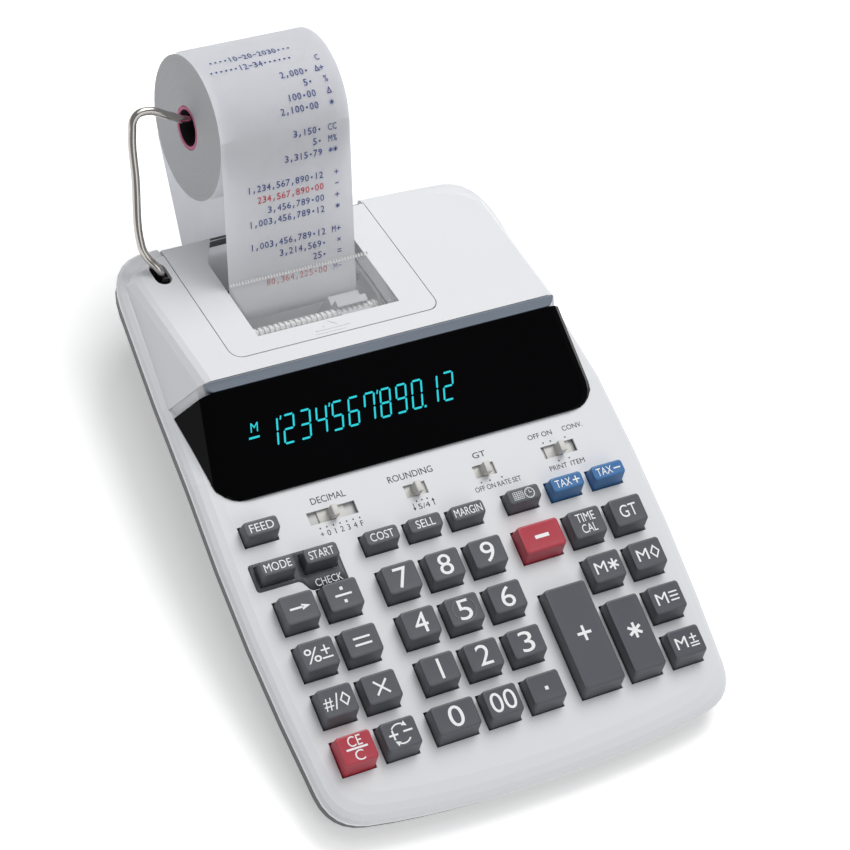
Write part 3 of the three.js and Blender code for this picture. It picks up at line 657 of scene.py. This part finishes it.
def make_labels():
    steps = [-51.3 + 2.95 * i for i in range(7)]
    marks = [
        caption("DECIMAL", 2.7, -43.1, LABEL_ROW, 15.4, resolution=3),
        [caption(sign, 2.3, x, SCALE_ROW, resolution=3) for x, sign in zip(steps, "+01234F")],
        dots(steps),
        caption("ROUNDING", 2.7, -5.7, LABEL_ROW, 20.4, resolution=3),
        caption("5/4", 2.2, -5.2, SCALE_ROW, 5.2, resolution=3),
        stroke([(-9.6, 49.4), (-9.6, 46.8)], 0.32), arrow_head(-9.6, 46.2, -90, 1.2, 0.7),
        stroke([(-0.6, 46.4), (-0.6, 49.0)], 0.32), arrow_head(-0.6, 49.6, 90, 1.2, 0.7),
        dots([-7.6, -5.2, -2.8]),
        caption("GT", 2.4, 26.5, LABEL_ROW + 0.2, 6.0, resolution=3),
        caption("OFF ON RATE SET", 2.1, 29.4, SCALE_ROW, 21.5, resolution=3),
        dots([22.6, 26.6, 32.2]),
        caption("OFF ON", 2.1, 56.0, LABEL_ROW + 1.2, 11.4, resolution=3),
        caption("CONV.", 2.1, 71.6, LABEL_ROW + 1.2, 9.6, resolution=3),
        caption("PRINT", 2.1, 58.2, SCALE_ROW, 8.2, resolution=3),
        caption("ITEM", 2.1, 67.4, SCALE_ROW, 6.6, resolution=3),
        [bar(x, 58.9, DOT, DOT) for x in (56, 59.5, 66.5)],
        dots([59.5, 64.5]),
    ]
    lettering("switch_labels", marks, on_deck, "case", LABEL)


# ---------- switches ----------


def make_switches():
    for name in ("decimal", "rounding", "total", "power"):
        node = f"switch_{name}"
        points = deck_points(node)
        low, high = span([point for point in points if point.z > 0])
        shutter_low, shutter_high = span([point for point in points if point.z < 0])
        maker = bmesh.new()
        soft_block(maker, (shutter_low.x, shutter_low.y, shutter_high.z - 0.6), shutter_high, 0.1)
        soft_block(maker, (low.x, low.y, shutter_high.z - 0.3), high, 0.45)
        finish_piece(f"knob_{name}", maker, node, [KNOB_GREY], stands_for=[node])


TRAY_HALF_DEPTH = 3.1
TRAY_FLOOR = -2.9
TRAY_TOP = -1.95


def make_switch_trays():
    """The pale floor seen in each slot beyond the knob's shutter."""
    maker = bmesh.new()
    for node, half in (("decimal", 11.1), ("rounding", 5.3), ("total", 5.2), ("power", 8.2)):
        low, high = deck_box(f"switch_{node}")
        middle = (low + high) / 2
        soft_block(maker, (middle.x - half, middle.y - TRAY_HALF_DEPTH, TRAY_FLOOR),
                   (middle.x + half, middle.y + TRAY_HALF_DEPTH, TRAY_TOP), 0.1)
    finish_piece("switch_trays", maker, "case", [TRAY_GREY])


# ---------- the display ----------

SEGMENT_WIDTH = 0.78
DIGIT_CELL = (4.3, 10.9)
DIGIT_PITCH = 7.28
FIRST_DIGIT = -61.2
DIGIT_FOOT = 17.2
DISPLAY_SLANT = math.tan(math.radians(13))

SEGMENTS = {
    "a": ((0, 2), (1, 2)), "b": ((1, 1), (1, 2)), "c": ((1, 0), (1, 1)), "d": ((0, 0), (1, 0)),
    "e": ((0, 0), (0, 1)), "f": ((0, 1), (0, 2)), "g": ((0, 1), (1, 1)),
}
LIT = {
    "0": "abcdef", "1": "bc", "2": "abged", "3": "abgcd", "4": "fgbc", "5": "afgcd",
    "6": "afgedc", "7": "abcf", "8": "abcdefg", "9": "abcdfg",
}
SHOWN = "123456789012"
TICKED = (1, 4, 7)
POINT_AFTER = 9


def segment(start, end):
    """One lit bar with pointed ends, a little short of the corners that it runs between."""
    start, end = Vector(start), Vector(end)
    along = (end - start).normalized()
    across = Vector((-along.y, along.x)) * SEGMENT_WIDTH / 2
    gap = along * 0.2
    nose = along * SEGMENT_WIDTH / 2
    corners = [start + gap, start + gap + nose - across, end - gap - nose - across,
               end - gap, end - gap - nose + across, start + gap + nose + across]

    def draw(sheet, place):
        sheet.faces.new([sheet.verts.new(place(*corner)) for corner in corners])
    return draw


def lens_place():
    """A point of the lens face, from x and the distance up the slope."""
    points = deck_points("display_lens")
    low, high = span(points)
    top = max(points, key=lambda point: point.z)
    foot = max((point for point in points if point.y < low.y + 0.1), key=lambda point: point.z)
    slope = math.atan2(top.z - foot.z, top.y - foot.y)
    up = Vector((0, math.cos(slope), math.sin(slope)))
    out = Vector((0, -math.sin(slope), math.cos(slope)))

    def place(u, v):
        return Vector((u, foot.y, foot.z)) + up * v + out * TEXT_LIFT
    return place


def make_display():
    face = lens_place()

    def slanted(u, v):
        return face(u + (v - DIGIT_FOOT) * DISPLAY_SLANT, v)

    wide, tall = DIGIT_CELL
    marks = []
    for i, digit in enumerate(SHOWN):
        left = FIRST_DIGIT + i * DIGIT_PITCH
        for name in LIT[digit]:
            ends = [(left + x * wide, DIGIT_FOOT + y * tall / 2) for x, y in SEGMENTS[name]]
            marks.append(segment(*ends))
        if i in TICKED:
            head = DIGIT_FOOT + tall
            marks.append(stroke([(left - 1.5, head - 1.2), (left - 1.2, head + 0.3)], 0.6))
    dot = FIRST_DIGIT + POINT_AFTER * DIGIT_PITCH + wide + 1.3
    marks.append(bar(dot, DIGIT_FOOT - 0.1, 0.9, 0.9))
    memory = FIRST_DIGIT - 5.2
    marks.append(caption("M", 3.6, memory - 0.6, DIGIT_FOOT + 9.4, 3.2))
    marks.append(bar(memory - 0.8, DIGIT_FOOT + 5.5, 4.6, 0.8))
    lettering("display_figures", marks, slanted, "case", VACUUM_GLOW)


def make_trim():
    """The grey strip above the lens, with its lower corners rounded."""
    low, high = deck_box("display_trim")
    points = deck_points("display_trim")
    front = max((point for point in points if point.y < low.y + 0.1), key=lambda point: point.z)
    back = max((point for point in points if point.y > high.y - 0.1), key=lambda point: point.z)
    half = (high.x - low.x) / 2
    deep = back.y - front.y
    outline = plan_strip(half, deep, 3.4)
    rings = []
    for drop, inset in ((front.z - low.z, 0), (0.3, 0), (0.06, 0.1), (0, 0.35)):
        loop = []
        for x, y in outline:
            z = front.z + (back.z - front.z) * y / deep - drop
            inner_y = deep / 2 + (y - deep / 2) * (1 - 2 * inset / deep)
            loop.append(Vector((x * (1 - inset / half), front.y + inner_y, z)))
        rings.append(loop)
    maker = bmesh.new()
    loft(maker, rings)
    finish_piece("trim_strip", maker, "case", [TRIM_GREY], stands_for=["display_trim"])


def plan_strip(half, deep, radius):
    """Anticlockwise outline of a strip whose two front corners are rounded."""
    points = [(half, deep), (-half, deep)]
    for start, side in ((180, -1), (270, 1)):
        for step in range(9):
            angle = math.radians(start + 90 * step / 8)
            x = side * (half - radius) + radius * math.cos(angle)
            points.append((x, radius + radius * math.sin(angle)))
    return points


# ---------- the printer ----------


TOOTH_PITCH = 1.3


def make_window():
    """A clear plate with a serrated edge that the paper is torn against."""
    low, high = deck_box("tear_window")
    points = deck_points("tear_window")
    front = max((point for point in points if point.y < low.y + 0.1), key=lambda point: point.z)
    back = max((point for point in points if point.y > high.y - 0.1), key=lambda point: point.z)
    thickness = front.z - min(point.z for point in points if point.y < low.y + 0.1)
    along = (back - front).normalized()
    along.x = 0
    out = Vector((0, -along.z, along.y))
    maker = bmesh.new()
    length = (Vector((0, back.y, back.z)) - Vector((0, front.y, front.z))).length

    def at(x, up, lift):
        return Vector((x, front.y, front.z)) + along * up + out * lift

    half = (high.x - low.x) / 2
    middle = (high.x + low.x) / 2
    rings = []
    edges = [(0.25, -thickness, 1.9), (0, 0.25 - thickness, 1.6), (0, -0.25, 0.3), (0.25, 0, 0)]
    for inset, lift, short in edges:
        reach = (length - short) / 2
        loop = rounded_rectangle(half - inset, reach - inset, 1.2 - inset, centre=(0, reach))
        rings.append([at(middle + p.x, p.y, lift) for p in loop])
    loft(maker, rings)
    finish_piece("window_plate", maker, "cover", [WINDOW], stands_for=["tear_window"])

    teeth = bmesh.new()
    count = int((high.x - low.x) / TOOTH_PITCH)
    for i in range(count):
        x = low.x + (i + 0.5) * (high.x - low.x) / count
        foot = 0.32 * TOOTH_PITCH
        base = [at(x - foot, length - 1.5, 0), at(x + foot, length - 1.5, 0),
                at(x + foot, length - 0.1, 0), at(x - foot, length - 0.1, 0)]
        peak = [at(x - 0.12, length - 0.5, 0.75), at(x + 0.12, length - 0.5, 0.75),
                at(x + 0.12, length - 0.2, 0.75), at(x - 0.12, length - 0.2, 0.75)]
        loft(teeth, [base, peak])
    finish_piece("tear_teeth", teeth, "cover", [NYLON])


def make_cover_marks():
    """A raised pointer and two bars on the cover's front edge, which show where to lift it."""
    points = deck_points("printer_cover")
    low, high = span(points)
    front = max((point for point in points if point.y < low.y + 0.1), key=lambda point: point.z)
    back = max((point for point in points if point.y > high.y - 0.1), key=lambda point: point.z)
    fall = (back.z - front.z) / (back.y - front.y)

    def place(u, v):
        return Vector((u, v, front.z + (v - front.y) * fall - 0.02))

    marks = [
        stroke([(-20.6, 127.6), (-17.4, 130.2), (-14.4, 127.6)], 0.45),
        bar(-17, 126.2, 15.4, 0.5),
        bar(-18.6, 124.6, 13.4, 0.5),
    ]
    piece = lettering("cover_pointer", marks, place, "cover", CASE_LIGHT)
    piece.modifiers["ink"].thickness = 0.22 * MM


# ---------- paper ----------

TEAR_OUT = (159.2, 1.05)
INLET = (187.0, -28.9)
PAPER_GAP = 0.6
PAPER_SHEET = 0.2
OVER_THE_TOP = 1.9
LINE_PITCH = 4.9
CELL = 2.17


def roll_shape():
    low, high = deck_box("paper_roll")
    return (low.y + high.y) / 2, (low.z + high.z) / 2, (high.z - low.z) / 2, low.x, high.x


def tangent(point, centre, radius, side):
    """The angle on the circle where a line from the point touches it."""
    away = Vector(point) - Vector(centre)
    return math.atan2(away.y, away.x) + side * math.acos(radius / away.length)


def around(centre, radius, angle):
    return (centre[0] + radius * math.cos(angle), centre[1] + radius * math.sin(angle))


def strip_path():
    """Points in y and z from the roll's underside, round the platen, and up over the roll's top."""
    roll_y, roll_z, roll_radius, _, _ = roll_shape()
    wrap = roll_radius + PAPER_GAP
    low, high = deck_box("platen_roller")
    platen = ((low.y + high.y) / 2, (low.z + high.z) / 2)
    bend = (high.z - low.z) / 2 + PAPER_GAP
    lower = tangent(INLET, (roll_y, roll_z), wrap, 1)
    under = tangent(INLET, platen, bend, -1)
    rising = tangent(TEAR_OUT, platen, bend, 1) - 2 * math.pi
    upper = tangent(TEAR_OUT, (roll_y, roll_z), wrap, -1)
    path = stepped(around((roll_y, roll_z), wrap, lower), INLET, 16)
    path += stepped(INLET, around(platen, bend, under), 8)[1:]
    path += [around(platen, bend, under + (rising - under) * step / 16) for step in range(1, 17)]
    path += stepped(path[-1], TEAR_OUT, 10)[1:]
    path += stepped(TEAR_OUT, around((roll_y, roll_z), wrap, upper), 24)[1:]
    path += [around((roll_y, roll_z), wrap, upper - OVER_THE_TOP * step / 40) for step in range(1, 41)]
    return [Vector(point) for point in path]


def stepped(start, end, count):
    return [tuple(a + (b - a) * step / count for a, b in zip(start, end)) for step in range(count + 1)]


def paper_bends(piece):
    """Bakes the piece's placement into its mesh; the piece rides on no body."""
    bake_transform(piece)


def make_strip():
    _, _, _, left, right = roll_shape()
    path = strip_path()
    maker = bmesh.new()
    columns = 8
    rows = []
    for point in path:
        rows.append([maker.verts.new((left + (right - left) * column / columns, point.x, point.y))
                     for column in range(columns + 1)])
    for row, after in zip(rows, rows[1:]):
        for column in range(columns):
            maker.faces.new((row[column], after[column], after[column + 1], row[column + 1]))
    bmesh.ops.solidify(maker, geom=maker.faces[:], thickness=PAPER_SHEET)
    bmesh.ops.recalc_face_normals(maker, faces=maker.faces[:])
    piece = finish_piece("paper_web", maker, None, [PAPER], sharp=50,
                         stands_for=["paper_strip"])
    paper_bends(piece)


def strip_place():
    """A point of the printed side, from x and the distance up from the tear edge."""
    roll_y, roll_z, roll_radius, _, _ = roll_shape()
    wrap = roll_radius + PAPER_GAP
    upper = tangent(TEAR_OUT, (roll_y, roll_z), wrap, -1)
    touch = Vector((roll_y + wrap * math.cos(upper), roll_z + wrap * math.sin(upper)))
    start = Vector(TEAR_OUT)
    straight = (touch - start).length
    along = (touch - start).normalized()
    out = Vector((-along.y, along.x))
    lift = PAPER_SHEET / 2 + 0.12

    def place(u, v):
        if v <= straight:
            spot = start + along * v + out * lift
        else:
            angle = upper - (v - straight) / wrap
            spot = Vector((roll_y, roll_z)) + Vector((math.cos(angle), math.sin(angle))) * (wrap + lift)
        return Vector((u, spot.x, spot.y))
    return place


def printed_row(number, sign, v, right):
    """A row in cells of even width, with the number first and the sign between it and the edge."""
    marks = []
    end = right - 14.1
    for i, letter in enumerate(reversed(number)):
        if letter != " ":
            marks.append(printed_letter(letter, end - i * CELL, v))
    for i, letter in enumerate(sign):
        if letter != " ":
            marks.append(printed_letter(letter, right - 9.3 + i * CELL, v))
    return marks


def printed_letter(letter, u, v):
    if letter == ".":
        return bar(u, v - 0.1, 0.75, 0.75)
    if letter == ",":
        return stroke([(u + 0.1, v - 0.5), (u - 0.25, v - 1.7)], 0.45)
    if letter == "*":
        return asterisk(u, v, 2.0, 0.34)
    if letter == "+":
        return cross(u, v, 1.9, 0.34)
    if letter == "-":
        return bar(u, v, 1.6, 0.36)
    if letter == "=":
        return [bar(u, v + 0.5, 1.7, 0.34), bar(u, v - 0.5, 1.7, 0.34)]
    if letter == "x":
        return cross(u, v, 2.1, 0.34, 45)
    if letter == "^":
        return stroke([(u - 0.85, v - 1.1), (u + 0.85, v - 1.1), (u, v + 1.1)], 0.34, True)
    width = None if letter == "1" else 1.7
    return caption(letter, 2.75, u, v, width, resolution=2)


PRINTED = [
    ("80,364,225.00", "M-", -0.35, "red"), ("25.", " =", 1, "blue"), ("3,214,569.", " x", 2, "blue"),
    ("1,003,456,789.12", "M+", 3, "blue"), ("1,003,456,789.12", " *", 5, "blue"),
    ("3,456,789.00", " +", 6, "blue"), ("234,567,890.00", " -", 7, "red"),
    ("1,234,567,890.12", " +", 8, "blue"), ("3,315.79", "**", 10, "blue"), ("5.", "M%", 11, "blue"),
    ("3,150.", "CC", 12, "blue"), ("2,100.00", " *", 14, "blue"), ("100.00", " ^", 15, "blue"),
    ("5.", " %", 16, "blue"), ("2,000.", "^+", 17, "blue"), ("", " C", 18, "blue"),
    ("......12-34......  ", "", 18.5, "blue"), ("....10-20-2030... ", "", 19.6, "blue"),
]
FIRST_LINE = -2.4


def make_print():
    _, _, _, _, right = roll_shape()
    place = strip_place()
    for colour, ink in (("blue", INK_BLUE), ("red", INK_RED)):
        marks = []
        for number, sign, line, shade in PRINTED:
            v = FIRST_LINE + line * LINE_PITCH
            if shade == colour:
                marks += printed_row(number, "" if shade == "red" else sign, v, right)
            elif shade == "red":
                marks += printed_row("", sign, v, right)
        piece = lettering(f"print_{colour}", marks, place, "case", ink, blended=True)
        modifier = piece.modifiers["ink"]
        modifier.thickness = 0.03 * MM
        paper_bends(piece)


def revolve(maker, profile, centre, segments, materials):
    """Turns a closed profile of (x, radius) points about an axis along x, with a material for each side."""
    rings = []
    for step in range(segments):
        angle = 2 * math.pi * step / segments
        rings.append([maker.verts.new((x, *around(centre, radius, angle))) for x, radius in profile])
    count = len(profile)
    for step in range(segments):
        here, after = rings[step], rings[(step + 1) % segments]
        for i in range(count):
            j = (i + 1) % count
            face = maker.faces.new((here[i], here[j], after[j], after[i]))
            face.material_index = materials[i]


def make_roll():
    """The roll's turns sit unevenly at its ends, so each end is a run of shallow steps."""
    roll_y, roll_z, radius, left, right = roll_shape()
    core_low, core_high = deck_box("paper_core")
    core = (core_high.z - core_low.z) / 2
    draw = random.Random(7)
    count = 22
    radii = [core + 0.3 + (radius - core - 0.3) * step / count for step in range(count + 1)]
    left_end = [(left + draw.uniform(0, 0.07), r) for r in radii]
    right_end = [(right - draw.uniform(0, 0.07), r) for r in reversed(radii)]
    profile = left_end + right_end
    materials = [1] * count + [0] + [1] * count + [0]
    maker = bmesh.new()
    revolve(maker, profile, (roll_y, roll_z), 128, materials)
    bmesh.ops.recalc_face_normals(maker, faces=maker.faces[:])
    finish_piece("roll_paper", maker, "roll", [PAPER, PAPER_END], sharp=40,
                 stands_for=["paper_roll"])

    bore = min(math.hypot(p.y - roll_y, p.z - roll_z) for p in deck_points("paper_core"))
    tube = bmesh.new()
    edge = 0.3
    profile = [(left, bore + edge), (left, core - edge), (left + edge, core), (right - edge, core),
               (right, core - edge), (right, bore + edge), (right - edge, bore), (left + edge, bore)]
    # The bore face, material 1, takes the painted shade.
    revolve(tube, profile, (roll_y, roll_z), 64, [0] * 6 + [1, 0])
    bmesh.ops.recalc_face_normals(tube, faces=tube.faces[:])
    finish_piece("roll_core", tube, "roll", [CORE_PINK, PAINTED_BORE_SHADE], stands_for=["paper_core"])


# ---------- the wire arm ----------

WIRE_RADIUS = 1.7
ARM_ROUTE = [
    (-58, 172.7, -16), (-66, 172.7, -16), (-69.1, 172.9, -14), (-69.6, 173.7, -8), (-74.6, 180.6, -3.6),
    (-76.2, 184, -0.6), (-75.6, 205, 18), (-75, 219, 30.4), (-73.6, 223, 34.6), (-70, 224.2, 36),
    (-58, 221.8, 32.4), (-49.5, 221.2, 26.9), (-44, 221.2, 25.9), (-36, 221.2, 25.9), (-2, 221.2, 25.9),
]


def make_arm():
    wire = bpy.data.curves.new("arm_wire", "CURVE")
    wire.dimensions = "3D"
    wire.bevel_depth = WIRE_RADIUS * MM
    wire.bevel_resolution = 5
    wire.resolution_u = 8
    wire.use_fill_caps = True
    spline = wire.splines.new("BEZIER")
    spline.bezier_points.add(len(ARM_ROUTE) - 1)
    for knot, place in zip(spline.bezier_points, ARM_ROUTE):
        knot.co = DECK @ Vector(place)
        knot.handle_left_type = knot.handle_right_type = "AUTO"
    wire.materials.append(CHROME)
    piece = bpy.data.objects.new("arm_wire", wire)
    bpy.context.scene.collection.objects.link(piece)
    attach(piece, "arm")
    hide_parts("paper_arm")


# ---------- carried-over nodes ----------


def paint_frame():
    paint("upper_case", CASE_LIGHT)
    paint("lower_case", CASE_DARK)
    paint("display_lens", LENS_BLACK)
    paint("display_tube", TUBE_GLASS)
    paint("circuit_board", BOARD_GREEN)
    paint("printer_cover", CASE_LIGHT)
    paint("printer_frame", STEEL)
    paint("platen_roller", PLATEN_RUBBER)
    paint("carriage_rack", NYLON)
    paint("print_carriage", CARRIAGE)
    paint("foot_front", FOOT_RUBBER)
    paint("foot_rear", FOOT_RUBBER)


# ---------- floor, light and camera ----------

CAMERA_HEADING = math.radians(47.055)
CAMERA_DOWN = math.radians(52.648)
CAMERA_ROLL = math.radians(25.239)
CAMERA_DISTANCE = 1.113
CAMERA_TARGET = Vector((-0.0511, -0.0641, 0.1491))
LENS_LENGTH = 131.05
SENSOR_WIDTH = 36


def make_camera():
    forward = Vector((math.sin(CAMERA_HEADING) * math.cos(CAMERA_DOWN),
                      math.cos(CAMERA_HEADING) * math.cos(CAMERA_DOWN), -math.sin(CAMERA_DOWN)))
    level_right = Vector((math.cos(CAMERA_HEADING), -math.sin(CAMERA_HEADING), 0))
    level_up = level_right.cross(forward)
    right = level_right * math.cos(CAMERA_ROLL) + level_up * math.sin(CAMERA_ROLL)
    up = right.cross(forward)
    lens = bpy.data.cameras.new("camera")
    lens.sensor_width = SENSOR_WIDTH
    lens.lens = LENS_LENGTH
    lens.clip_start = 0.05
    camera = bpy.data.objects.new("camera", lens)
    turn = Matrix((right, up, -forward)).transposed().to_4x4()
    camera.matrix_world = Matrix.Translation(CAMERA_TARGET - forward * CAMERA_DISTANCE) @ turn
    bpy.context.scene.collection.objects.link(camera)
    bpy.context.scene.camera = camera


def make_light(name, place, aim, size, power):
    lamp = bpy.data.lights.new(name, "AREA")
    lamp.shape = "DISK"
    lamp.size = size
    lamp.energy = power
    light = bpy.data.objects.new(name, lamp)
    light.location = place
    light.rotation_mode = "QUATERNION"
    light.rotation_quaternion = (Vector(aim) - Vector(place)).to_track_quat("-Z", "Y")
    bpy.context.scene.collection.objects.link(light)


FLOOR_GLOW = 0.35
SKY_GLOW = 0.3


def make_studio():
    floor = bmesh.new()
    bmesh.ops.create_grid(floor, x_segments=8, y_segments=8, size=4)
    mesh = bpy.data.meshes.new("floor")
    floor.to_mesh(mesh)
    floor.free()
    pale = surface("floor_pale", (0.985, 0.985, 0.985), 0.9, mottle=0.004, mottle_size=400)
    pale.node_tree.nodes["Principled BSDF"].inputs["Emission Color"].default_value = (1, 1, 1, 1)
    pale.node_tree.nodes["Principled BSDF"].inputs["Emission Strength"].default_value = FLOOR_GLOW
    mesh.materials.append(pale)
    ground = bpy.data.objects.new("floor", mesh)
    bpy.context.scene.collection.objects.link(ground)

    world = bpy.data.worlds.new("studio")
    world.use_nodes = True
    world.node_tree.nodes["Background"].inputs["Color"].default_value = (0.97, 0.98, 1, 1)
    world.node_tree.nodes["Background"].inputs["Strength"].default_value = SKY_GLOW
    bpy.context.scene.world = world
    middle = (0, 0, 0.03)
    make_light("key_light", (0.75, 0.85, 1.6), middle, 1.3, 22)
    make_light("top_light", (0.1, 0.35, 1.9), middle, 1.6, 8)
    make_light("front_light", (0.4, -1.5, 0.9), middle, 1.4, 5)
    bpy.context.scene.view_settings.view_transform = "Standard"


make_camera()
make_studio()
paint_frame()
make_keys()
plate()
make_labels()
make_switches()
make_switch_trays()
make_display()
make_trim()
make_window()
make_cover_marks()
make_strip()
make_print()
make_roll()
make_arm()
